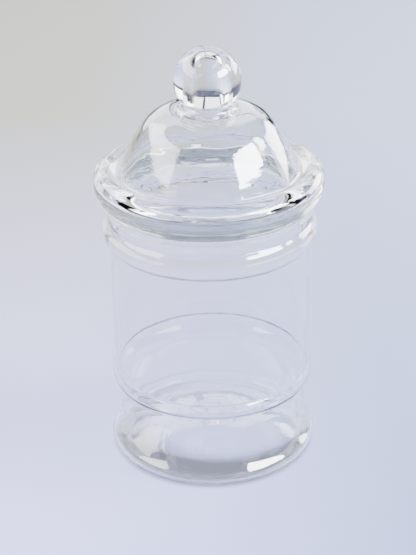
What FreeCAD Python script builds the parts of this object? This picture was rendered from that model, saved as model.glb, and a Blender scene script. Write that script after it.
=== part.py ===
import FreeCAD, Part

# Clear moulded display jar with a domed push-in lid.
# Three mouldings: the blown jar body, the lid with its hollow ball knob, and the soft
# ribbed ring that seals the lid's plug in the neck.
# Millimetres, +Z up. The origin is the middle of the standing ring, at its lowest face.

import math
import os
from collections import namedtuple
from types import SimpleNamespace

import Sketcher

# Driving dimensions. Radii are measured from the jar's axis unless the name ends in
# round or sweep, which are the radii of the section's own arcs.
SIZES = {
    # jar body: side wall
    "wall_radius": 37.6,
    "wall_thickness": 1.2,
    "foot_radius": 40.2,
    "toe_round": 3.6,
    "waist_radius": 36.0,
    "lower_sweep": 12.0,
    "upper_sweep": 9.8,
    "shoulder_radius": 38.7,
    "shoulder_round": 4.4,
    "shoulder_height": 31.6,
    "wall_sweep": 1.0,
    "bead_radius": 40.2,
    "bead_round": 6.65,
    "bead_height": 91.8,
    "inner_bead_radius": 38.8,
    "inner_bead_round": 4.05,
    "inner_bead_height": 90.7,
    "neck_radius": 38.2,
    "neck_thickness": 1.6,
    "lip_height": 110.0,
    "lip_round": 0.6,
    # jar body: pushed-up floor
    "ring_inner_radius": 33.0,
    "heel_round": 3.0,
    "floor_height": 9.8,
    "floor_thickness": 2.2,
    "disc_radius": 8.5,
    "gate_radius": 2.4,
    "gate_length": 1.1,
    # lid: rim, measured from the roof that sits on the lip
    "seat_gap": 0.2,
    "rim_radius": 42.8,
    "crest_round": 5.0,
    "crest_height": 1.0,
    "rim_sweep": 12.9,
    "rim_depth": 7.0,
    "skirt_radius": 38.5,
    "skirt_depth": 9.4,
    "skirt_edge_round": 0.6,
    "plug_radius": 34.8,
    "plug_thickness": 1.6,
    "plug_depth": 8.8,
    "plug_edge_round": 0.6,
    "catch_round": 0.5,
    # lid: dome and knob
    "dome_thickness": 1.8,
    "crown_height": 27.56,
    "dome_round": 15.0,
    "dome_turn": 56.0,
    "flank_sweep": 87.0,
    "valley_round": 0.8,
    "ball_radius": 12.4,
    "ball_height": 38.45,
    "knob_neck_round": 2.6,
    "hollow_radius": 5.35,
    "hollow_height": 41.0,
    "hollow_edge_round": 1.5,
    # sealing ring
    "seal_inner_radius": 34.9,
    "seal_band_radius": 35.8,
    "seal_band_height": 7.3,
    "seal_play": 0.1,
    "rib_round": 0.7,
    "rib_first": 0.9,
    "rib_pitch": 2.8,
    "rib_count": 3,
}

Circle = namedtuple("Circle", "r z round")
Stretch = namedtuple("Stretch", "start end circle left")


class Size:
    """A number together with the sheet formula that gives it."""

    def __init__(self, number, formula=None):
        self.number = float(number)
        self.formula = formula or repr(float(number))

    def combined(self, sign, other, number):
        return Size(number, f"({self.formula} {sign} {other.formula})")

    def __add__(self, other):
        return self.combined("+", other, self.number + other.number)

    def __sub__(self, other):
        return self.combined("-", other, self.number - other.number)

    def __mul__(self, other):
        return self.combined("*", other, self.number * other.number)

    def __truediv__(self, other):
        return self.combined("/", other, self.number / other.number)


ZERO = Size(0)
TWO = Size(2)


def root(size):
    return Size(math.sqrt(size.number), f"sqrt({size.formula})")


def sine(degrees):
    return Size(math.sin(math.radians(degrees.number)), f"sin({degrees.formula} * 1 deg)")


def cosine(degrees):
    return Size(math.cos(math.radians(degrees.number)), f"cos({degrees.formula} * 1 deg)")


def leg(long_side, short_side):
    """The other short side of a right-angled triangle."""
    return root(long_side * long_side - short_side * short_side)


# ---- points and circles in the (radius, height) section ----


def touch(a, b):
    """Where two circles touch from outside."""
    share = a.round / (a.round + b.round)
    return (a.r + (b.r - a.r) * share, a.z + (b.z - a.z) * share)


def crossing(a, b):
    """The upper crossing of two circles, for b to the right of a."""
    dr = b.r - a.r
    dz = b.z - a.z
    apart_squared = dr * dr + dz * dz
    along = (a.round * a.round - b.round * b.round + apart_squared) / (TWO * apart_squared)
    across = root(a.round * a.round / apart_squared - along * along)
    return (a.r + dr * along - dz * across, a.z + dz * along + dr * across)


def line(start, end):
    return Stretch(start, end, None, True)


def arc(start, end, circle, left):
    """A round stretch that turns to the left (anticlockwise) or to the right."""
    return Stretch(start, end, circle, left)


def backwards(stretches):
    """The same stretches walked from the last end to the first start."""
    return [Stretch(p.end, p.start, p.circle, not p.left) for p in reversed(stretches)]


# ---- document helpers ----


def make_sheet(doc):
    """The sheet of driving dimensions, and the same sizes for use in formulas."""
    sheet = doc.addObject("Spreadsheet::Sheet", "Sizes")
    for row, (name, value) in enumerate(SIZES.items(), start=1):
        sheet.set(f"A{row}", name)
        sheet.set(f"B{row}", str(value))
        sheet.setAlias(f"B{row}", name)
    doc.recompute()
    return SimpleNamespace(**{name: Size(value, f"Sizes.{name}") for name, value in SIZES.items()})


def new_body(doc, label, height):
    """An empty body that stands at a height given by a size."""
    body = doc.addObject("PartDesign::Body", label)
    body.Label = label
    body.Placement = FreeCAD.Placement(FreeCAD.Vector(0, 0, height.number), FreeCAD.Rotation())
    body.setExpression("Placement.Base.z", height.formula)
    return body


def origin_feature(body, role):
    return next(f for f in body.Origin.OriginFeatures if f.Role == role)


def new_sketch(body, name):
    """An empty sketch on the body's upright plane: its X is the radius, its Y the height."""
    sketch = body.newObject("Sketcher::SketchObject", name)
    sketch.AttachmentSupport = [(origin_feature(body, "XZ_Plane"), "")]
    sketch.MapMode = "FlatFace"
    return sketch


def geometry_of(stretch):
    """The sketch element of a stretch, and which of its ends come first and last."""
    first = FreeCAD.Vector(stretch.start[0].number, stretch.start[1].number, 0)
    last = FreeCAD.Vector(stretch.end[0].number, stretch.end[1].number, 0)
    if stretch.circle is None:
        return Part.LineSegment(first, last), 1, 2
    centre = FreeCAD.Vector(stretch.circle.r.number, stretch.circle.z.number, 0)
    full = Part.Circle(centre, FreeCAD.Vector(0, 0, 1), stretch.circle.round.number)
    begin, finish = (first, last) if stretch.left else (last, first)
    angles = [math.atan2(p.y - centre.y, p.x - centre.x) for p in (begin, finish)]
    element = Part.ArcOfCircle(full, angles[0], angles[1])
    return (element, 1, 2) if stretch.left else (element, 2, 1)


def bind(sketch, datums):
    """Adds driving constraints and binds each one to its formula."""
    for constraint, size in datums:
        index = sketch.addConstraint(constraint)
        sketch.setExpression(f"Constraints[{index}]", size.formula)


def draw_outline(sketch, outline):
    """A closed outline whose corners and arc radii are all bound to the sheet."""
    drawn = [geometry_of(stretch) for stretch in outline]
    sketch.addGeometry([element for element, _, _ in drawn], False)
    fixed = []
    datums = []
    for i, (_, first, last) in enumerate(drawn):
        following = (i + 1) % len(drawn)
        fixed.append(Sketcher.Constraint("Coincident", i, last, following, drawn[following][1]))
        for kind, axis, size in zip(("DistanceX", "DistanceY"), (-2, -1), outline[i].start):
            if size.number == 0:
                fixed.append(Sketcher.Constraint("PointOnObject", i, first, axis))
            else:
                datums.append((Sketcher.Constraint(kind, -1, 1, i, first, size.number), size))
        if outline[i].circle is not None:
            size = outline[i].circle.round
            datums.append((Sketcher.Constraint("Radius", i, size.number), size))
    sketch.addConstraint(fixed)
    bind(sketch, datums)


def turned(body, sketch, name):
    """The solid that the sketch sweeps in a full turn about the upright axis."""
    feature = body.newObject("PartDesign::Revolution", name)
    feature.Profile = sketch
    feature.ReferenceAxis = (sketch, ["V_Axis"])
    feature.Angle = 360
    sketch.Visibility = False
    return feature


# ---- jar body ----


def side_wall(s, inset, bead):
    """The wall from the toe of the foot up to the bead, inset from its outer face."""
    toe = Circle(s.foot_radius - s.toe_round, s.toe_round, s.toe_round - inset)

    lower_r = s.waist_radius + s.lower_sweep
    lower_z = s.toe_round + leg(s.toe_round + s.lower_sweep, lower_r - toe.r)
    lower = Circle(lower_r, lower_z, s.lower_sweep + inset)

    shoulder_r = s.shoulder_radius - s.shoulder_round
    shoulder = Circle(shoulder_r, s.shoulder_height, s.shoulder_round - inset)

    upper_r = s.waist_radius + s.upper_sweep
    upper_z = s.shoulder_height - leg(s.shoulder_round + s.upper_sweep, upper_r - shoulder.r)
    upper = Circle(upper_r, upper_z, s.upper_sweep + inset)

    blend_r = s.wall_radius + s.wall_sweep
    blend_z = s.shoulder_height + leg(s.shoulder_round + s.wall_sweep, blend_r - shoulder.r)
    blend = Circle(blend_r, blend_z, s.wall_sweep + inset)

    toe_bottom = (toe.r, inset)
    toe_end = touch(toe, lower)
    waist_low = (s.waist_radius - inset, lower.z)
    waist_high = (s.waist_radius - inset, upper.z)
    shoulder_low = touch(shoulder, upper)
    shoulder_high = touch(shoulder, blend)
    wall_low = (s.wall_radius - inset, blend.z)
    wall_high = (wall_low[0], bead.z - leg(bead.round, wall_low[0] - bead.r))
    return [
        arc(toe_bottom, toe_end, toe, True),
        arc(toe_end, waist_low, lower, False),
        line(waist_low, waist_high),
        arc(waist_high, shoulder_low, upper, False),
        arc(shoulder_low, shoulder_high, shoulder, True),
        arc(shoulder_high, wall_low, blend, False),
        line(wall_low, wall_high),
    ]


def bead_circles(s):
    """The bead's outer round, and the smaller hollow that the wall leaves inside it."""
    outer = Circle(s.bead_radius - s.bead_round, s.bead_height, s.bead_round)
    inner_r = s.inner_bead_radius - s.inner_bead_round
    inner = Circle(inner_r, s.inner_bead_height, s.inner_bead_round)
    return outer, inner


def neck_and_lip(s, outer_bead, inner_bead, outer_start, inner_end):
    """Over the bead, up the neck, round the lip and back down the mouth."""
    mouth = s.neck_radius - s.neck_thickness
    lip_low = s.lip_height - s.lip_round
    outer_top = (s.neck_radius, outer_bead.z + leg(outer_bead.round, s.neck_radius - outer_bead.r))
    inner_top = (mouth, inner_bead.z + leg(inner_bead.round, mouth - inner_bead.r))
    outer_edge = Circle(s.neck_radius - s.lip_round, lip_low, s.lip_round)
    inner_edge = Circle(mouth + s.lip_round, lip_low, s.lip_round)
    outer_lip = (s.neck_radius, lip_low)
    inner_lip = (mouth, lip_low)
    return [
        arc(outer_start, outer_top, outer_bead, True),
        line(outer_top, outer_lip),
        arc(outer_lip, (outer_edge.r, s.lip_height), outer_edge, True),
        line((outer_edge.r, s.lip_height), (inner_edge.r, s.lip_height)),
        arc((inner_edge.r, s.lip_height), inner_lip, inner_edge, True),
        line(inner_lip, inner_top),
        arc(inner_top, inner_end, inner_bead, False),
    ]


def floor_circles(s, inset):
    """The floor's dome and the heel that turns it down to the standing ring."""
    ring = s.ring_inner_radius
    rise = s.floor_height
    dome_round = (ring * ring + rise * rise - TWO * rise * s.heel_round) / (TWO * rise)
    dome = Circle(ZERO, rise - dome_round, dome_round + inset)
    heel = Circle(ring, s.heel_round, s.heel_round - inset)
    return dome, heel


def underside(s):
    """From the gate mark outwards to the standing ring."""
    dome, heel = floor_circles(s, ZERO)
    gate_tip = s.floor_height - s.gate_length
    disc_edge = (s.disc_radius, dome.z + leg(dome.round, s.disc_radius))
    heel_start = touch(dome, heel)
    return [
        line((ZERO, gate_tip), (s.gate_radius, gate_tip)),
        line((s.gate_radius, gate_tip), (s.gate_radius, s.floor_height)),
        line((s.gate_radius, s.floor_height), (s.disc_radius, s.floor_height)),
        line((s.disc_radius, s.floor_height), disc_edge),
        arc(disc_edge, heel_start, dome, False),
        arc(heel_start, (heel.r, ZERO), heel, True),
    ]


def inner_floor(s, toe_bottom):
    """From the inside of the toe to the middle of the floor's upper face."""
    dome, heel = floor_circles(s, s.floor_thickness)
    heel_low = (heel.r, s.floor_thickness)
    heel_end = touch(dome, heel)
    return [
        line(toe_bottom, heel_low),
        arc(heel_low, heel_end, heel, False),
        arc(heel_end, (ZERO, s.floor_height + s.floor_thickness), dome, True),
    ]


def make_jar_body(doc, s):
    """The blown jar: foot, waist, straight wall, bead, neck and pushed-up floor."""
    outer_bead, inner_bead = bead_circles(s)
    outside = side_wall(s, ZERO, outer_bead)
    inside = side_wall(s, s.wall_thickness, inner_bead)
    under = underside(s)
    over = neck_and_lip(s, outer_bead, inner_bead, outside[-1].end, inside[-1].end)
    floor = inner_floor(s, inside[0].start)
    ring = line(under[-1].end, outside[0].start)
    axis = line(floor[-1].end, under[0].start)

    body = new_body(doc, "jar_body", ZERO)
    sketch = new_sketch(body, "JarSection")
    draw_outline(sketch, under + [ring] + outside + over + backwards(inside) + floor + [axis])
    turned(body, sketch, "JarTurned")
    return body


# ---- lid ----


def knob_circles(s):
    """The ball, and the fillet that joins it to the crown of the dome."""
    ball = Circle(ZERO, s.ball_height, s.ball_radius)
    fillet_z = s.crown_height + s.knob_neck_round
    fillet_r = leg(s.ball_radius + s.knob_neck_round, s.ball_height - fillet_z)
    return ball, Circle(fillet_r, fillet_z, s.knob_neck_round)


def knob_outside(s):
    """From the top of the ball down to the crown."""
    ball, fillet = knob_circles(s)
    ball_end = touch(ball, fillet)
    return [
        arc((ZERO, s.ball_height + s.ball_radius), ball_end, ball, False),
        arc(ball_end, (fillet.r, s.crown_height), fillet, True),
    ]


def dome_circles(s, inset):
    """The round shoulder of the dome and its long flank, inset from the outer face."""
    _, fillet = knob_circles(s)
    shoulder = Circle(fillet.r, s.crown_height - s.dome_round, s.dome_round - inset)
    reach = s.flank_sweep - s.dome_round
    flank_r = shoulder.r - reach * sine(s.dome_turn)
    flank_z = shoulder.z - reach * cosine(s.dome_turn)
    flank = Circle(flank_r, flank_z, s.flank_sweep - inset)
    meeting_r = shoulder.r + shoulder.round * sine(s.dome_turn)
    meeting_z = shoulder.z + shoulder.round * cosine(s.dome_turn)
    return shoulder, flank, (meeting_r, meeting_z)


def dome_and_rim_outside(s):
    """Down the dome, through the valley, over the crest, down the rim and the skirt."""
    shoulder, flank, meeting = dome_circles(s, ZERO)
    crest = Circle(s.rim_radius - s.crest_round, s.crest_height, s.crest_round)
    wide_flank = Circle(flank.r, flank.z, flank.round + s.valley_round)
    wide_crest = Circle(crest.r, crest.z, crest.round + s.valley_round)
    valley_r, valley_z = crossing(wide_flank, wide_crest)
    valley = Circle(valley_r, valley_z, s.valley_round)
    valley_start = touch(flank, valley)
    valley_end = touch(crest, valley)
    rim = Circle(s.rim_radius - s.rim_sweep, s.crest_height, s.rim_sweep)
    rim_top = (s.rim_radius, s.crest_height)

    rim_bottom = ZERO - s.rim_depth
    rim_end = (rim.r + leg(rim.round, rim.z - rim_bottom), rim_bottom)
    edge_z = s.skirt_edge_round - s.skirt_depth
    edge = Circle(s.skirt_radius + s.skirt_edge_round, edge_z, s.skirt_edge_round)
    skirt_outer = edge.r + edge.round
    return [
        arc((shoulder.r, s.crown_height), meeting, shoulder, False),
        arc(meeting, valley_start, flank, False),
        arc(valley_start, valley_end, valley, True),
        arc(valley_end, rim_top, crest, False),
        arc(rim_top, rim_end, rim, False),
        line(rim_end, (skirt_outer, rim_bottom)),
        line((skirt_outer, rim_bottom), (skirt_outer, edge_z)),
        arc((skirt_outer, edge_z), (edge.r, edge.z - edge.round), edge, False),
        arc((edge.r, edge.z - edge.round), (s.skirt_radius, edge_z), edge, False),
    ]


def neck_channel(s):
    """Inside the skirt, along the roof and down the plug with the catch for the seal."""
    edge_z = s.skirt_edge_round - s.skirt_depth
    plug_bottom = ZERO - s.plug_depth
    catch = Circle(s.plug_radius, plug_bottom + s.catch_round, s.catch_round)
    catch_top = (s.plug_radius, catch.z + s.catch_round)
    catch_middle = (s.plug_radius + s.catch_round, catch.z)
    catch_bottom = (s.plug_radius, plug_bottom)
    inner_r = s.plug_radius - s.plug_thickness
    tip = Circle(inner_r + s.plug_edge_round, plug_bottom + s.plug_edge_round, s.plug_edge_round)
    return [
        line((s.skirt_radius, edge_z), (s.skirt_radius, ZERO)),
        line((s.skirt_radius, ZERO), (s.plug_radius, ZERO)),
        line((s.plug_radius, ZERO), catch_top),
        arc(catch_top, catch_middle, catch, False),
        arc(catch_middle, catch_bottom, catch, False),
        line(catch_bottom, (tip.r, plug_bottom)),
        arc((tip.r, plug_bottom), (inner_r, tip.z), tip, False),
    ]


def lid_inside(s, start):
    """Up inside the plug and the dome, and into the knob's straight-sided hollow."""
    shoulder, flank, meeting = dome_circles(s, s.dome_thickness)
    ceiling = s.crown_height - s.dome_thickness
    plug_top = (start[0], flank.z + leg(flank.round, start[0] - flank.r))
    crown = (shoulder.r, ceiling)
    edge = s.hollow_edge_round
    mouth = Circle(s.hollow_radius + edge, ceiling + edge, edge)
    hollow = Circle(ZERO, s.hollow_height, s.hollow_radius)
    hollow_top = (ZERO, s.hollow_height + s.hollow_radius)
    return [
        line(start, plug_top),
        arc(plug_top, meeting, flank, True),
        arc(meeting, crown, shoulder, True),
        line(crown, (mouth.r, ceiling)),
        arc((mouth.r, ceiling), (s.hollow_radius, mouth.z), mouth, False),
        line((s.hollow_radius, mouth.z), (s.hollow_radius, s.hollow_height)),
        arc((s.hollow_radius, s.hollow_height), hollow_top, hollow, True),
    ]


def make_lid(doc, s):
    """The lid in one moulding: knob, dome, solid rim, thin skirt and plug."""
    knob = knob_outside(s)
    rim = dome_and_rim_outside(s)
    channel = neck_channel(s)
    inside = lid_inside(s, channel[-1].end)
    axis = line(inside[-1].end, knob[0].start)

    body = new_body(doc, "lid", s.lip_height + s.seat_gap)
    sketch = new_sketch(body, "LidSection")
    draw_outline(sketch, knob + rim + channel + inside + [axis])
    turned(body, sketch, "LidTurned")
    return body


# ---- sealing ring ----


def draw_circle(sketch, circle):
    """A full circle whose centre and radius are bound to the sheet."""
    centre = FreeCAD.Vector(circle.r.number, circle.z.number, 0)
    sketch.addGeometry(Part.Circle(centre, FreeCAD.Vector(0, 0, 1), circle.round.number), False)
    centre_point = 3
    bind(sketch, [
        (Sketcher.Constraint("DistanceX", -1, 1, 0, centre_point, circle.r.number), circle.r),
        (Sketcher.Constraint("DistanceY", -1, 1, 0, centre_point, circle.z.number), circle.z),
        (Sketcher.Constraint("Radius", 0, circle.round.number), circle.round),
    ])


def make_seal_ring(doc, s):
    """The soft ring on the lid's plug: a plain band with evenly spaced ribs."""
    top = s.lip_height + s.seat_gap - s.seal_play
    body = new_body(doc, "seal_ring", top - s.seal_band_height)

    inner, outer, height = s.seal_inner_radius, s.seal_band_radius, s.seal_band_height
    corners = [(inner, ZERO), (outer, ZERO), (outer, height), (inner, height)]
    band = new_sketch(body, "BandSection")
    draw_outline(band, [line(a, b) for a, b in zip(corners, corners[1:] + corners[:1])])
    turned(body, band, "BandTurned")

    section = new_sketch(body, "RibSection")
    draw_circle(section, Circle(outer, s.rib_first, s.rib_round))
    rib = turned(body, section, "RibTurned")

    ribs = body.newObject("PartDesign::LinearPattern", "Ribs")
    ribs.Originals = [rib]
    ribs.Direction = (origin_feature(body, "Z_Axis"), [""])
    ribs.setExpression("Length", f"{s.rib_pitch.formula} * ({s.rib_count.formula} - 1)")
    ribs.setExpression("Occurrences", s.rib_count.formula)
    body.Tip = ribs
    return body


# ---- checks and files ----


def check_document(doc, parts):
    """Stops on any failed object, and on any sub-part that isn't a sound solid."""
    for item in doc.Objects:
        failed = [state for state in item.State if state in ("Invalid", "Error")]
        if failed:
            raise RuntimeError(f"{item.Name} is {failed}")
    for part in parts:
        if part.Shape.isNull() or not part.Shape.isValid() or not part.Shape.Solids:
            raise RuntimeError(f"{part.Label} has no sound solid")


def export(parts):
    os.makedirs("parts", exist_ok=True)
    for part in parts:
        part.Shape.exportStep(f"parts/{part.Label}.step")
        box = part.Shape.optimalBoundingBox()
        print(f"{part.Label}: {part.Shape.Volume / 1000:.2f} ml of plastic, "
              f"radius {box.XMax:.2f}, height {box.ZMin:.2f} to {box.ZMax:.2f}")


def main():
    doc = FreeCAD.newDocument("DisplayJar")
    sizes = make_sheet(doc)
    parts = [make_jar_body(doc, sizes), make_lid(doc, sizes), make_seal_ring(doc, sizes)]
    doc.recompute()
    check_document(doc, parts)
    export(parts)


main()
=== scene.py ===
import math
from collections import namedtuple

import bpy
from mathutils import Matrix, Vector, noise


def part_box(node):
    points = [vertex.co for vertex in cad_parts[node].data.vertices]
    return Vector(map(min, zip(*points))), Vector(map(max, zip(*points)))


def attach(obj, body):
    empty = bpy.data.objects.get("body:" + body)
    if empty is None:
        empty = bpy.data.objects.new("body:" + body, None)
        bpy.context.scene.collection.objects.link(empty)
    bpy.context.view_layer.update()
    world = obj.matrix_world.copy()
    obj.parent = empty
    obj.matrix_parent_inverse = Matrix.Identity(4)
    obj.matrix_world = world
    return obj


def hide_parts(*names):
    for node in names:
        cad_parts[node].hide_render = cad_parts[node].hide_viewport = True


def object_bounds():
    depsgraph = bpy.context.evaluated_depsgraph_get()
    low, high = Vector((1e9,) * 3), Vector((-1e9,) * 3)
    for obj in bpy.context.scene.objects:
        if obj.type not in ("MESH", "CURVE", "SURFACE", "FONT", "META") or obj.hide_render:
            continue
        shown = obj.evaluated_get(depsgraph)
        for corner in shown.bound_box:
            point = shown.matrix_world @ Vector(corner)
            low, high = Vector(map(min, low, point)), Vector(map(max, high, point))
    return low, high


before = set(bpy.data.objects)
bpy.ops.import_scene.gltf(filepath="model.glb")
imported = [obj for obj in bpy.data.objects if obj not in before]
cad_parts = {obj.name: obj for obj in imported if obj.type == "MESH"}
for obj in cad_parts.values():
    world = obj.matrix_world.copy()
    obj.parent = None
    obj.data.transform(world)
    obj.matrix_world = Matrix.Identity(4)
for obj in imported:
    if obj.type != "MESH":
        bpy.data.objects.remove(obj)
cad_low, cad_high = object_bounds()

# Clear plastic display jar: the blown jar, the lid with its hollow knob and the soft seal.
# Sections are drawn in millimetres as (radius, height) and turned about the jar's axis.

MM = 0.001

_, jar_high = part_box("jar_body")
lid_low, lid_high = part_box("lid")
seal_low, seal_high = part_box("seal_ring")

# Sizes that the frame gives, in millimetres.
FOOT_RADIUS = jar_high.x / MM
LIP_HEIGHT = jar_high.z / MM
RIM_RADIUS = lid_high.x / MM
KNOB_TOP = lid_high.z / MM
SKIRT_BOTTOM = lid_low.z / MM
SEAL_BOTTOM = seal_low.z / MM
SEAL_TOP = seal_high.z / MM
RIB_RADIUS = seal_high.x / MM

# The lid's flat underside, just over the seal and the lip.
ROOF_GAP = 0.1
ROOF = SEAL_TOP + ROOF_GAP

# Fineness of the turned meshes.
TURN_STEPS = 192
ARC_STEP = math.radians(9)
CHORD = 1.6
EDGE_ROUND = 0.22
EDGE_SHARE = 0.45
SHARP_TURN = math.radians(24)
TINY = 1e-6

Circle = namedtuple("Circle", "r z round")


# ---- section drawing ----


def leg(long_side, short_side):
    """The other short side of a right-angled triangle."""
    return math.sqrt(long_side * long_side - short_side * short_side)


def touch(a, b):
    """Where two circles touch from outside."""
    share = a.round / (a.round + b.round)
    return a.r + (b.r - a.r) * share, a.z + (b.z - a.z) * share


def crossing(a, b):
    """The upper crossing of two circles, for b to the right of a."""
    dr = b.r - a.r
    dz = b.z - a.z
    apart = dr * dr + dz * dz
    along = (a.round ** 2 - b.round ** 2 + apart) / (2 * apart)
    across = math.sqrt(a.round ** 2 / apart - along * along)
    return a.r + dr * along - dz * across, a.z + dz * along + dr * across


class Pen:
    """Draws a section point by point, with arcs and long lines divided finely."""

    def __init__(self, start):
        self.points = [start]

    def line(self, end):
        """A straight run to the end point."""
        r, z = self.points[-1]
        steps = max(1, math.ceil(math.hypot(end[0] - r, end[1] - z) / CHORD))
        for i in range(1, steps + 1):
            share = i / steps
            self.points.append((r + (end[0] - r) * share, z + (end[1] - z) * share))
        return self

    def arc(self, circle, end, left):
        """Round the circle to the end point, turning left or right."""
        r, z = self.points[-1]
        begin = math.atan2(z - circle.z, r - circle.r)
        finish = math.atan2(end[1] - circle.z, end[0] - circle.r)
        turn = (finish - begin) % math.tau if left else -((begin - finish) % math.tau)
        by_angle = math.ceil(abs(turn) / ARC_STEP)
        by_length = math.ceil(abs(turn) * circle.round / CHORD)
        steps = max(2, by_angle, by_length)
        for i in range(1, steps + 1):
            angle = begin + turn * i / steps
            self.points.append((circle.r + circle.round * math.cos(angle),
                                circle.z + circle.round * math.sin(angle)))
        return self


def eased(points):
    """The closed section with each sharp corner turned into three points on a small round."""
    count = len(points)
    result = []
    for i, corner in enumerate(points):
        before = Vector(points[i - 1]) - Vector(corner)
        after = Vector(points[(i + 1) % count]) - Vector(corner)
        on_axis = corner[0] < TINY
        too_short = before.length < TINY or after.length < TINY
        if on_axis or too_short or before.angle(-after) < SHARP_TURN:
            result.append(corner)
            continue
        reach = min(EDGE_ROUND, before.length * EDGE_SHARE, after.length * EDGE_SHARE)
        start = Vector(corner) + before.normalized() * reach
        end = Vector(corner) + after.normalized() * reach
        middle = (start + end + 2 * Vector(corner)) / 4
        result += [tuple(start), tuple(middle), tuple(end)]
    return result


# ---- jar section ----

# Circles are (radius of the centre, height, the arc's own radius).
WALL = 1.2
TOE = Circle(FOOT_RADIUS - 3.6, 3.6, 3.6)
WAIST_RADIUS = 36.0
LOWER_SWEEP = 12.0
UPPER_SWEEP = 9.8
SHOULDER = Circle(34.3, 31.6, 4.4)
WALL_RADIUS = 37.6
WALL_SWEEP = 1.0
# The bead is as wide as the foot, and its inside is a smaller round of its own.
BEAD = Circle(FOOT_RADIUS - 6.65, 91.8, 6.65)
INNER_BEAD = Circle(34.75, 90.7, 4.05)
NECK_RADIUS = 38.2
MOUTH_RADIUS = 36.6
LIP_ROUND = 0.6
HEEL = Circle(33.0, 3.0, 3.0)
FLOOR_HEIGHT = 9.8
FLOOR_THICKNESS = 2.2
FLOOR_TOP = FLOOR_HEIGHT + FLOOR_THICKNESS
DISC_RADIUS = 8.5
GATE_RADIUS = 2.4
GATE_LENGTH = 1.1


def inset(circle, depth):
    """The circle of a parallel wall, depth inside a convex one."""
    return Circle(circle.r, circle.z, circle.round - depth)


def side_wall(depth, bead):
    """The wall from the toe to just under the bead, depth inside its outer face."""
    toe = inset(TOE, depth)
    shoulder = inset(SHOULDER, depth)
    lower_r = WAIST_RADIUS + LOWER_SWEEP
    lower_z = TOE.z + leg(TOE.round + LOWER_SWEEP, lower_r - TOE.r)
    upper_r = WAIST_RADIUS + UPPER_SWEEP
    upper_z = SHOULDER.z - leg(SHOULDER.round + UPPER_SWEEP, upper_r - SHOULDER.r)
    blend_r = WALL_RADIUS + WALL_SWEEP
    blend_z = SHOULDER.z + leg(SHOULDER.round + WALL_SWEEP, blend_r - SHOULDER.r)
    lower = Circle(lower_r, lower_z, LOWER_SWEEP + depth)
    upper = Circle(upper_r, upper_z, UPPER_SWEEP + depth)
    blend = Circle(blend_r, blend_z, WALL_SWEEP + depth)
    waist = WAIST_RADIUS - depth
    wall = WALL_RADIUS - depth
    pen = Pen((toe.r, depth))
    pen.arc(toe, touch(toe, lower), True).arc(lower, (waist, lower.z), False)
    pen.line((waist, upper.z)).arc(upper, touch(shoulder, upper), False)
    pen.arc(shoulder, touch(shoulder, blend), True).arc(blend, (wall, blend.z), False)
    pen.line((wall, bead.z - leg(bead.round, wall - bead.r)))
    return pen.points


def jar_section():
    """Closed section of the jar: underside, outside, lip, inside and floor."""
    twice_height = 2 * FLOOR_HEIGHT
    dome_round = (HEEL.r ** 2 + FLOOR_HEIGHT ** 2 - twice_height * HEEL.round) / twice_height
    dome = Circle(0, FLOOR_HEIGHT - dome_round, dome_round)
    outside = side_wall(0, BEAD)
    inside = side_wall(WALL, INNER_BEAD)
    lip_z = LIP_HEIGHT - LIP_ROUND
    outer_lip = Circle(NECK_RADIUS - LIP_ROUND, lip_z, LIP_ROUND)
    inner_lip = Circle(MOUTH_RADIUS + LIP_ROUND, lip_z, LIP_ROUND)

    pen = Pen((0, FLOOR_HEIGHT - GATE_LENGTH))
    pen.line((GATE_RADIUS, FLOOR_HEIGHT - GATE_LENGTH)).line((GATE_RADIUS, FLOOR_HEIGHT))
    pen.line((DISC_RADIUS, FLOOR_HEIGHT)).line((DISC_RADIUS, dome.z + leg(dome.round, DISC_RADIUS)))
    pen.arc(dome, touch(dome, HEEL), False).arc(HEEL, (HEEL.r, 0), True).line(outside[0])
    pen.points += outside[1:]
    pen.arc(BEAD, (NECK_RADIUS, BEAD.z + leg(BEAD.round, NECK_RADIUS - BEAD.r)), True)
    pen.line((NECK_RADIUS, lip_z)).arc(outer_lip, (outer_lip.r, LIP_HEIGHT), True)
    pen.line((inner_lip.r, LIP_HEIGHT)).arc(inner_lip, (MOUTH_RADIUS, lip_z), True)
    pen.line((MOUTH_RADIUS, INNER_BEAD.z + leg(INNER_BEAD.round, MOUTH_RADIUS - INNER_BEAD.r)))
    pen.arc(INNER_BEAD, inside[-1], False)
    pen.points += reversed(inside[:-1])

    upper_dome = inset(dome, -FLOOR_THICKNESS)
    upper_heel = inset(HEEL, FLOOR_THICKNESS)
    pen.line((HEEL.r, FLOOR_THICKNESS)).arc(upper_heel, touch(upper_dome, upper_heel), False)
    pen.arc(upper_dome, (0, FLOOR_TOP), True)
    return pen.points


# ---- lid section ----

PLUG_RADIUS = 34.8
PLUG_INNER = 33.2
PLUG_EDGE = 0.6
PLUG_BOTTOM = ROOF - 8.8
CATCH = Circle(PLUG_RADIUS, PLUG_BOTTOM + 0.5, 0.5)
SKIRT_RADIUS = 38.5
SKIRT_EDGE = Circle(SKIRT_RADIUS + 0.6, SKIRT_BOTTOM + 0.6, 0.6)
RIM_BOTTOM = ROOF - 7.0
CREST = Circle(RIM_RADIUS - 5.0, ROOF + 1.0, 5.0)
RIM = Circle(RIM_RADIUS - 12.9, ROOF + 1.0, 12.9)
VALLEY_ROUND = 0.8
DOME_WALL = 1.8
CROWN = ROOF + 27.56
BALL = Circle(0, KNOB_TOP - 12.4, 12.4)
NECK_ROUND = 2.6
CROWN_RADIUS = leg(BALL.round + NECK_ROUND, BALL.z - CROWN - NECK_ROUND)
KNOB_NECK = Circle(CROWN_RADIUS, CROWN + NECK_ROUND, NECK_ROUND)
DOME_SHOULDER = Circle(CROWN_RADIUS, CROWN - 15.0, 15.0)
DOME_TURN = math.radians(56)
FLANK_ROUND = 87.0
HOLLOW = Circle(0, ROOF + 41.0, 5.35)
HOLLOW_EDGE = 1.5


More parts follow.
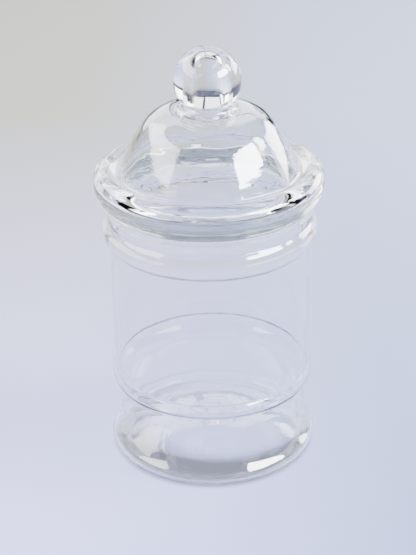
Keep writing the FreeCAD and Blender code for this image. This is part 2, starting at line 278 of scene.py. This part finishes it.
def dome_parts(depth):
    """The dome's shoulder and flank circles, and where they meet, depth inside its face."""
    reach = FLANK_ROUND - DOME_SHOULDER.round
    down = math.cos(DOME_TURN)
    out = math.sin(DOME_TURN)
    shoulder = inset(DOME_SHOULDER, depth)
    flank = Circle(shoulder.r - reach * out, shoulder.z - reach * down, FLANK_ROUND - depth)
    return shoulder, flank, (shoulder.r + shoulder.round * out, shoulder.z + shoulder.round * down)


def lid_section():
    """Closed section of the lid: knob, dome, rim, skirt, plug, and back up the inside."""
    shoulder, flank, meeting = dome_parts(0)
    wide_flank = inset(flank, -VALLEY_ROUND)
    wide_crest = inset(CREST, -VALLEY_ROUND)
    valley = Circle(*crossing(wide_flank, wide_crest), VALLEY_ROUND)
    rim_low = RIM.r + leg(RIM.round, RIM.z - RIM_BOTTOM)
    skirt_outer = SKIRT_EDGE.r + SKIRT_EDGE.round

    pen = Pen((0, KNOB_TOP)).arc(BALL, touch(BALL, KNOB_NECK), False)
    pen.arc(KNOB_NECK, (CROWN_RADIUS, CROWN), True).arc(shoulder, meeting, False)
    pen.arc(flank, touch(flank, valley), False).arc(valley, touch(CREST, valley), True)
    pen.arc(CREST, (RIM_RADIUS, CREST.z), False).arc(RIM, (rim_low, RIM_BOTTOM), False)
    pen.line((skirt_outer, RIM_BOTTOM)).line((skirt_outer, SKIRT_EDGE.z))
    pen.arc(SKIRT_EDGE, (SKIRT_RADIUS, SKIRT_EDGE.z), False)
    pen.line((SKIRT_RADIUS, ROOF)).line((PLUG_RADIUS, ROOF))
    pen.line((PLUG_RADIUS, CATCH.z + CATCH.round)).arc(CATCH, (PLUG_RADIUS, PLUG_BOTTOM), False)
    tip = Circle(PLUG_INNER + PLUG_EDGE, PLUG_BOTTOM + PLUG_EDGE, PLUG_EDGE)
    pen.line((tip.r, PLUG_BOTTOM)).arc(tip, (PLUG_INNER, tip.z), False)

    shoulder, flank, meeting = dome_parts(DOME_WALL)
    ceiling = CROWN - DOME_WALL
    mouth = Circle(HOLLOW.round + HOLLOW_EDGE, ceiling + HOLLOW_EDGE, HOLLOW_EDGE)
    pen.line((PLUG_INNER, flank.z + leg(flank.round, PLUG_INNER - flank.r)))
    pen.arc(flank, meeting, True).arc(shoulder, (shoulder.r, ceiling), True)
    pen.line((mouth.r, ceiling)).arc(mouth, (HOLLOW.round, mouth.z), False)
    pen.line((HOLLOW.round, HOLLOW.z)).arc(HOLLOW, (0, HOLLOW.z + HOLLOW.round), True)
    return pen.points


# ---- seal section ----

BAND_INNER = 34.9
BAND_RADIUS = 35.8
RIB_FIRST = 0.9
RIB_PITCH = 2.8
RIB_COUNT = 3


def seal_section():
    """Closed section of the sealing ring: a band with round ribs on its outside."""
    rib_round = RIB_RADIUS - BAND_RADIUS
    pen = Pen((BAND_INNER, SEAL_BOTTOM)).line((BAND_RADIUS, SEAL_BOTTOM))
    for i in range(RIB_COUNT):
        rib = Circle(BAND_RADIUS, SEAL_BOTTOM + RIB_FIRST + i * RIB_PITCH, rib_round)
        pen.line((BAND_RADIUS, rib.z - rib_round)).arc(rib, (BAND_RADIUS, rib.z + rib_round), True)
    pen.line((BAND_RADIUS, SEAL_TOP)).line((BAND_INNER, SEAL_TOP)).line((BAND_INNER, SEAL_BOTTOM))
    return pen.points[:-1]


# ---- turning ----


def anticlockwise(points):
    """The same closed section, walked so that the plastic lies to the left."""
    pairs = zip(points, points[1:] + points[:1])
    twice_area = sum(a[0] * b[1] - b[0] * a[1] for a, b in pairs)
    return points if twice_area > 0 else points[::-1]


def section_normals(points):
    """Unit normals in the section's plane, pointing out of the plastic."""
    count = len(points)
    normals = []
    for i in range(count):
        along = Vector(points[(i + 1) % count]) - Vector(points[i - 1])
        along.normalize()
        normals.append((along.y, -along.x))
    return normals


def add_object(name, data):
    """A new object in the scene."""
    thing = bpy.data.objects.new(name, data)
    bpy.context.scene.collection.objects.link(thing)
    return thing


def turned(name, section, material, ripple=None):
    """A mesh of the section turned about the axis, its faces moved by the ripple function."""
    points = eased(anticlockwise(section))
    normals = section_normals(points)
    vertices, rings = [], []
    for (r, z), (nr, nz) in zip(points, normals):
        if r < TINY:
            rings.append([len(vertices)])
            vertices.append((0, 0, z * MM))
            continue
        rings.append(range(len(vertices), len(vertices) + TURN_STEPS))
        for step in range(TURN_STEPS):
            angle = math.tau * step / TURN_STEPS
            swell = ripple(r, z, angle) if ripple else 0.0
            radius = (r + nr * swell) * MM
            height = (z + nz * swell) * MM
            vertices.append((radius * math.cos(angle), radius * math.sin(angle), height))
    faces = []
    for ring, following in zip(rings, rings[1:] + rings[:1]):
        if len(ring) == 1 and len(following) == 1:
            continue
        for step in range(TURN_STEPS):
            after = (step + 1) % TURN_STEPS
            if len(ring) == 1:
                faces.append((ring[0], following[after], following[step]))
            elif len(following) == 1:
                faces.append((ring[step], ring[after], following[0]))
            else:
                faces.append((ring[step], ring[after], following[after], following[step]))
    mesh = bpy.data.meshes.new(name)
    mesh.from_pydata(vertices, [], faces)
    mesh.validate()
    mesh.shade_smooth()
    mesh.materials.append(material)
    return add_object(name, mesh)


# Unevenness of the faces: waves as (height, how far apart), in millimetres.
WALL_WAVE = 0.012, 14.0
WAVY_WALL_TOP = 100.0
FLOOR_WAVE = 0.03, 9.0
FLOOR_RINGS = 0.05
RING_PITCH = 3.5
RINGS_FROM = DISC_RADIUS + 1
RINGS_TO = HEEL.r - 3
DOME_WAVE = 0.06, 8.0
DOME_WAVE_SQUEEZE = 1.6
DOME_INSIDE = 33.0
DOME_CEILING = CROWN - DOME_WALL + 0.1


def uneven(r, z, angle, height, reach):
    """Noise on a surface of revolution, where reach is the size of its waves."""
    place = Vector((r * math.cos(angle), r * math.sin(angle), z)) / reach
    return height * noise.noise(place)


def jar_ripple(r, z, angle):
    """Uneven wall inside the blown jar, and faint rings where the floor was stretched."""
    inner_wall = r < WALL_RADIUS - WALL / 2 and FLOOR_TOP < z < WAVY_WALL_TOP
    if inner_wall:
        return uneven(r, z, angle, *WALL_WAVE)
    stretched_floor = z < FLOOR_TOP and RINGS_FROM < r < RINGS_TO
    if stretched_floor:
        rings = math.sin(math.tau * r / RING_PITCH)
        return FLOOR_RINGS * rings + uneven(r, z, angle, *FLOOR_WAVE)
    return 0.0


def lid_ripple(r, z, angle):
    """Flow marks inside the moulded dome."""
    inside_dome = ROOF < z < DOME_CEILING and r < DOME_INSIDE
    if inside_dome:
        return uneven(r, z * DOME_WAVE_SQUEEZE, angle, *DOME_WAVE)
    return 0.0


# ---- materials ----


def add_node(tree, kind, place, **values):
    """A shader node at a place in the editor, with its named input sockets set."""
    node = tree.nodes.new(kind)
    node.location = place
    for socket, value in values.items():
        node.inputs[socket.replace("_", " ")].default_value = value
    return node


def empty_material(name):
    """A material with no nodes, and its node tree."""
    material = bpy.data.materials.new(name)
    material.use_nodes = True
    material.node_tree.nodes.clear()
    return material, material.node_tree


def add_ramp(tree, place, stops):
    """A colour ramp through (position, colour) stops."""
    node = tree.nodes.new("ShaderNodeValToRGB")
    node.location = place
    ramp = node.color_ramp
    while len(ramp.elements) < len(stops):
        ramp.elements.new(0.5)
    for element, (position, colour) in zip(ramp.elements, stops):
        element.position = position
        element.color = (*colour, 1)
    return node


def add_mix(tree, place, blend, share, first, second):
    """A colour mix of two sockets. share is a number or a socket."""
    node = tree.nodes.new("ShaderNodeMix")
    node.location = place
    node.data_type = "RGBA"
    node.blend_type = blend
    if isinstance(share, float):
        node.inputs[0].default_value = share
    else:
        tree.links.new(share, node.inputs[0])
    tree.links.new(first, node.inputs[6])
    tree.links.new(second, node.inputs[7])
    return node.outputs[2]


def add_range(tree, place, source, reach, result=(0.0, 1.0)):
    """A value's way through a reach, from low to high, carried over to a result's reach."""
    node = add_node(tree, "ShaderNodeMapRange", place)
    node.inputs["From Min"].default_value, node.inputs["From Max"].default_value = reach
    node.inputs["To Min"].default_value, node.inputs["To Max"].default_value = result
    tree.links.new(source, node.inputs["Value"])
    return node.outputs["Result"]


def add_distance(tree, location, source, centre):
    """The distance of a place from a fixed point."""
    node = tree.nodes.new("ShaderNodeVectorMath")
    node.location = location
    node.operation = "DISTANCE"
    node.inputs[1].default_value = centre
    tree.links.new(source, node.inputs[0])
    return node.outputs["Value"]


def add_maximum(tree, place, first, second):
    """The larger of two values."""
    node = tree.nodes.new("ShaderNodeMath")
    node.location = place
    node.operation = "MAXIMUM"
    tree.links.new(first, node.inputs[0])
    tree.links.new(second, node.inputs[1])
    return node.outputs["Value"]


def add_output(tree, place, surface):
    """The material's output node, showing a surface."""
    output = add_node(tree, "ShaderNodeOutputMaterial", place)
    tree.links.new(surface, output.inputs["Surface"])


# Bump waves in a plastic's face: metres high, how fine, and how many times longer they are
# round the piece than up it.
Waves = namedtuple("Waves", "height scale streak")
EVEN_WAVES = Waves(0.0001, 160.0, 1.0)
FLOW_WAVES = Waves(0.0002, 60.0, 8.0)
SMUDGE_EDGES = 0.45, 0.75


def clear_plastic(name, tint_and_painted_shade, ior, shade, roughness, waves):
    """Clear plastic with smudges and shallow waves.

    shade is what its shadow lets through, and roughness is (clean, smudged).
    """
    material, tree = empty_material(name)
    link = tree.links.new
    place = add_node(tree, "ShaderNodeTexCoord", (-1100, 0))

    smudges = add_node(tree, "ShaderNodeTexNoise", (-850, 150), Scale=45.0, Detail=5.0, Roughness=0.6)
    link(place.outputs["Object"], smudges.inputs["Vector"])
    smudged = add_range(tree, (-600, 150), smudges.outputs["Fac"], SMUDGE_EDGES, roughness)

    drawn_out = add_node(tree, "ShaderNodeMapping", (-1000, -250), Scale=(1, 1, waves.streak))
    link(place.outputs["Object"], drawn_out.inputs["Vector"])
    swell = add_node(
        tree, "ShaderNodeTexNoise", (-850, -250), Scale=waves.scale, Detail=1.0, Roughness=0.4
    )
    link(drawn_out.outputs["Vector"], swell.inputs["Vector"])
    bump = add_node(tree, "ShaderNodeBump", (-600, -250), Strength=0.35, Distance=waves.height)
    link(swell.outputs["Fac"], bump.inputs["Height"])

    plastic = add_node(tree, "ShaderNodeBsdfPrincipled", (-300, 0), Base_Color=tint_and_painted_shade, IOR=ior)
    plastic.inputs["Transmission Weight"].default_value = 1.0
    link(smudged, plastic.inputs["Roughness"])
    link(bump.outputs["Normal"], plastic.inputs["Normal"])

    # Light that goes on to the table passes as through tinted film.
    path = add_node(tree, "ShaderNodeLightPath", (-300, 400))
    film = add_node(tree, "ShaderNodeBsdfTransparent", (-300, -450), Color=shade)
    passing = add_maximum(
        tree, (-100, 400), path.outputs["Is Shadow Ray"], path.outputs["Is Diffuse Ray"]
    )
    mix = add_node(tree, "ShaderNodeMixShader", (0, 0))
    link(passing, mix.inputs["Fac"])
    link(plastic.outputs["BSDF"], mix.inputs[1])
    link(film.outputs["BSDF"], mix.inputs[2])
    add_output(tree, (200, 0), mix.outputs["Shader"])
    return material


# Table colours to the left and to the right, on the camera's side and far behind the jar: painted
# light and shade, lighter or darker as the light falls across the table.
PAINTED_LIGHT_NEAR = (0.80, 0.75, 0.93), (0.34, 0.37, 0.49)
PAINTED_LIGHT_FAR = (0.51, 0.46, 0.29), (0.50, 0.51, 0.51)
# The reach of those colours to either side, and away from the camera. Metres.
TABLE_ACROSS = -0.075, 0.075
TABLE_AWAY = -0.1, 0.36
# A dark crescent painted under the foot, on the camera's side, stands in for a contact shadow:
# it lies inside the foot's fade and outside a circle round its own centre. Metres.
CONTACT_CENTRE = (0.004, 0.012, 0.0)
CONTACT_FADE = 0.036, 0.026
FOOT_FADE = 0.0375, 0.0405
CONTACT_LIGHT = 0.12


def floor_material():
    """A pale matt table with light and shade painted in sideways and away, and a painted contact
    shadow at the foot.
    """
    material, tree = empty_material("table")
    link = tree.links.new
    place = add_node(tree, "ShaderNodeTexCoord", (-1300, 0)).outputs["Object"]
    split = add_node(tree, "ShaderNodeSeparateXYZ", (-1100, 0))
    link(place, split.inputs["Vector"])
    across = add_range(tree, (-900, 200), split.outputs["X"], TABLE_ACROSS)
    away = add_range(tree, (-900, -100), split.outputs["Y"], TABLE_AWAY)
    near = add_ramp(tree, (-700, 300), list(enumerate(PAINTED_LIGHT_NEAR)))
    far = add_ramp(tree, (-700, 50), list(enumerate(PAINTED_LIGHT_FAR)))
    link(across, near.inputs["Fac"])
    link(across, far.inputs["Fac"])
    # The table's colour, with its painted light and shade.
    colour = add_mix(tree, (-400, 100), "MIX", away, near.outputs["Color"], far.outputs["Color"])

    from_axis = add_distance(tree, (-1100, -600), place, (0.0, 0.0, 0.0))
    from_centre = add_distance(tree, (-1100, -350), place, CONTACT_CENTRE)
    lit_outside = add_range(tree, (-900, -600), from_axis, FOOT_FADE)
    lit_behind = add_range(tree, (-900, -350), from_centre, CONTACT_FADE)
    lit = add_maximum(tree, (-700, -450), lit_outside, lit_behind)
    contact = add_ramp(tree, (-500, -450), [(0.0, (CONTACT_LIGHT,) * 3), (1.0, (1.0,) * 3)])
    link(lit, contact.inputs["Fac"])
    shaded = add_mix(tree, (-200, 0), "MULTIPLY", 1.0, colour, contact.outputs["Color"])

    surface = add_node(tree, "ShaderNodeBsdfPrincipled", (0, 0), Roughness=0.75)
    link(shaded, surface.inputs["Base Color"])
    add_output(tree, (300, 0), surface.outputs["BSDF"])
    return material


# ---- pieces ----

JAR_TINT = (0.985, 0.99, 0.995, 1)
JAR_SHADE = (0.96, 0.965, 0.97, 1)
LID_TINT = (0.985, 0.99, 0.99, 1)
LID_SHADE = (0.95, 0.955, 0.96, 1)
# Greyer than the clear seal, to set the tone of the rim's middle.
# This grey is painted shade on the rim's middle, not the seal's own colour.
SEAL_PAINTED_SHADE_GREY = (0.45, 0.49, 0.47, 1)
SEAL_SHADE = (0.93, 0.935, 0.94, 1)

clear_jar = clear_plastic("clear_jar", JAR_TINT, 1.57, JAR_SHADE, (0.0, 0.03), EVEN_WAVES)
clear_lid = clear_plastic("clear_lid", LID_TINT, 1.59, LID_SHADE, (0.0, 0.02), FLOW_WAVES)
soft_seal = clear_plastic("soft_seal", SEAL_PAINTED_SHADE_GREY, 1.51, SEAL_SHADE, (0.02, 0.06), EVEN_WAVES)

jar = turned("jar_shell", jar_section(), clear_jar, jar_ripple)
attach(jar, "jar")
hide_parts("jar_body")

lid = turned("lid_shell", lid_section(), clear_lid, lid_ripple)
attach(lid, "lid")
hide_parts("lid")

seal = turned("seal_band", seal_section(), soft_seal)
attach(seal, "seal")
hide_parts("seal_ring")


# ---- stage, light and camera ----

TABLE_RADIUS = 4.0
TABLE_GAP = 0.00005
TABLE_SIDES = 96
PANEL_DISTANCE = 2.0
# A pane is flat up and down, so a tall panel stands well behind the others.
DARK_WALL_DISTANCE = 3.2
PANE_BAR = 0.05
PANE_STEPS = 12
WINDOW_COLOUR = (0.97, 0.985, 1.0)
LEFT_COLOUR = (1.0, 1.0, 1.0)
BACK_COLOUR = (0.96, 0.98, 1.0)
DARK_WALL_COLOUR = (0.9, 1.0, 0.95)
CARD_COLOUR = (0.90, 1.0, 0.94)
DARK_GLOW = 0.05
WALL_LIGHT = (0.55, 0.56, 0.58)
CEILING_LIGHT = (0.12, 0.13, 0.14)
WALL_TOP = 0.5
CEILING_START = 0.75
ROOM_STRENGTH = 1.15
SURFACE_CROSSINGS = 40
MIRRORINGS = 24


def round_floor(radius, level):
    """A large round table top."""
    mesh = bpy.data.meshes.new("table_top")
    angles = [math.tau * i / TABLE_SIDES for i in range(TABLE_SIDES)]
    edge = [(radius * math.cos(a), radius * math.sin(a), level) for a in angles]
    mesh.from_pydata(edge, [], [tuple(range(TABLE_SIDES))])
    mesh.materials.append(floor_material())
    add_object("table_top", mesh)


def at_bearing(azimuth, elevation, distance):
    """A place round the jar. Azimuth 0 is the camera's side, 90 is +X."""
    a = math.radians(azimuth)
    e = math.radians(elevation)
    return Vector((math.sin(a) * math.cos(e), -math.cos(a) * math.cos(e), math.sin(e))) * distance


def glowing(name, colour, strength):
    """A material that only gives light."""
    material, tree = empty_material(name)
    glow = add_node(tree, "ShaderNodeEmission", (0, 0), Color=(*colour, 1), Strength=strength)
    add_output(tree, (200, 0), glow.outputs["Emission"])
    return material


def bent_pane(left, right, low, high, distance):
    """Corners of a pane that curves round the jar in a few flat steps."""
    corners = []
    for k in range(PANE_STEPS + 1):
        azimuth = left + (right - left) * k / PANE_STEPS
        corners += [at_bearing(azimuth, low, distance), at_bearing(azimuth, high, distance)]
    return corners


def split_reach(reach, count):
    """The inner edges of each of a row of panes, with bars left between them."""
    width = (reach[1] - reach[0]) / count
    return [
        tuple(reach[0] + width * (i + share) for share in (PANE_BAR, 1 - PANE_BAR))
        for i in range(count)
    ]


def soft_box(name, azimuths, elevations, colour, strength, panes=1, distance=PANEL_DISTANCE):
    """A panel that only gloss and glass see: panes on a sphere round the jar, with bars between.

    Azimuths and elevations are in degrees. panes is how many there are each way.
    """
    vertices, faces = [], []
    for left, right in split_reach(azimuths, panes):
        for low, high in split_reach(elevations, panes):
            first = len(vertices)
            vertices += bent_pane(left, right, low, high, distance)
            for k in range(first, first + 2 * PANE_STEPS, 2):
                faces.append((k, k + 2, k + 3, k + 1))
    mesh = bpy.data.meshes.new(name)
    mesh.from_pydata(vertices, [], faces)
    mesh.materials.append(glowing(name, colour, strength))
    panel = add_object(name, mesh)
    panel.visible_camera = False
    panel.visible_diffuse = False
    panel.visible_shadow = False


def key_light(name, azimuth, elevation, distance, size, power, colour):
    """A large soft lamp that lights the table and casts the jar's faint shadow."""
    lamp = bpy.data.lights.new(name, "AREA")
    lamp.shape = "DISK"
    lamp.size = size
    lamp.energy = power
    lamp.color = colour
    light = add_object(name, lamp)
    away = at_bearing(azimuth, elevation, distance)
    light.location = away
    light.rotation_mode = "QUATERNION"
    light.rotation_quaternion = away.to_track_quat("Z", "Y")
    light.visible_glossy = False
    light.visible_transmission = False


def room_light():
    """A room with pale walls that shade off to a dark ceiling."""
    world = bpy.data.worlds.new("room")
    world.use_nodes = True
    tree = world.node_tree
    place = add_node(tree, "ShaderNodeTexCoord", (-900, 0))
    split = add_node(tree, "ShaderNodeSeparateXYZ", (-700, 0))
    tree.links.new(place.outputs["Generated"], split.inputs["Vector"])
    stops = [(0.0, WALL_LIGHT), (WALL_TOP, WALL_LIGHT), (CEILING_START, CEILING_LIGHT)]
    heights = add_ramp(tree, (-500, 0), stops)
    tree.links.new(split.outputs["Z"], heights.inputs["Fac"])
    background = tree.nodes["Background"]
    tree.links.new(heights.outputs["Color"], background.inputs["Color"])
    background.inputs["Strength"].default_value = ROOM_STRENGTH
    bpy.context.scene.world = world


def clear_depth():
    """Lets light cross the many faces of the solid rim and the nested walls."""
    cycles = bpy.context.scene.cycles
    cycles.max_bounces = SURFACE_CROSSINGS
    cycles.transmission_bounces = SURFACE_CROSSINGS
    cycles.glossy_bounces = MIRRORINGS
    cycles.transparent_max_bounces = SURFACE_CROSSINGS


def aimed_camera(aim, distance, elevation, roll, lens):
    """The camera looks along +Y and down at the aim point. Angles are in degrees."""
    camera = add_object("camera", bpy.data.cameras.new("camera"))
    camera.data.lens = lens
    camera.data.clip_start = 0.01
    tilt = math.radians(90 - elevation)
    back = Vector((0, -math.sin(tilt), math.cos(tilt)))
    turn = Matrix.Rotation(tilt, 4, "X") @ Matrix.Rotation(math.radians(roll), 4, "Z")
    camera.matrix_world = Matrix.Translation(Vector(aim) + back * distance) @ turn
    bpy.context.scene.camera = camera


round_floor(TABLE_RADIUS, cad_low.z - TABLE_GAP)
soft_box("right_box", (38, 88), (24, 41), WINDOW_COLOUR, 110.0)
soft_box("second_pane", (91, 106), (24, 41), WINDOW_COLOUR, 60.0)
soft_box("far_right_box", (109, 148), (4, 26), WINDOW_COLOUR, 30.0)
soft_box("left_box", (-150, -50), (22, 48), LEFT_COLOUR, 15.0)
soft_box("back_box", (152, 218), (8, 50), BACK_COLOUR, 4.5, panes=2)
soft_box("dark_wall", (39, 318), (-4, 54), DARK_WALL_COLOUR, DARK_GLOW, distance=DARK_WALL_DISTANCE)
soft_box("grey_card", (-48, 37), (-10, 58), CARD_COLOUR, DARK_GLOW)
soft_box("high_card", (-48, 37), (58, 89), CARD_COLOUR, DARK_GLOW)
key_light(
    "key", azimuth=85, elevation=42, distance=2.0, size=1.0, power=250, colour=(0.55, 0.62, 1.0)
)
room_light()
clear_depth()
aimed_camera(
    aim=(-0.00098, 0, 0.0693), distance=0.57296, elevation=26.855, roll=-0.98, lens=97.297
)
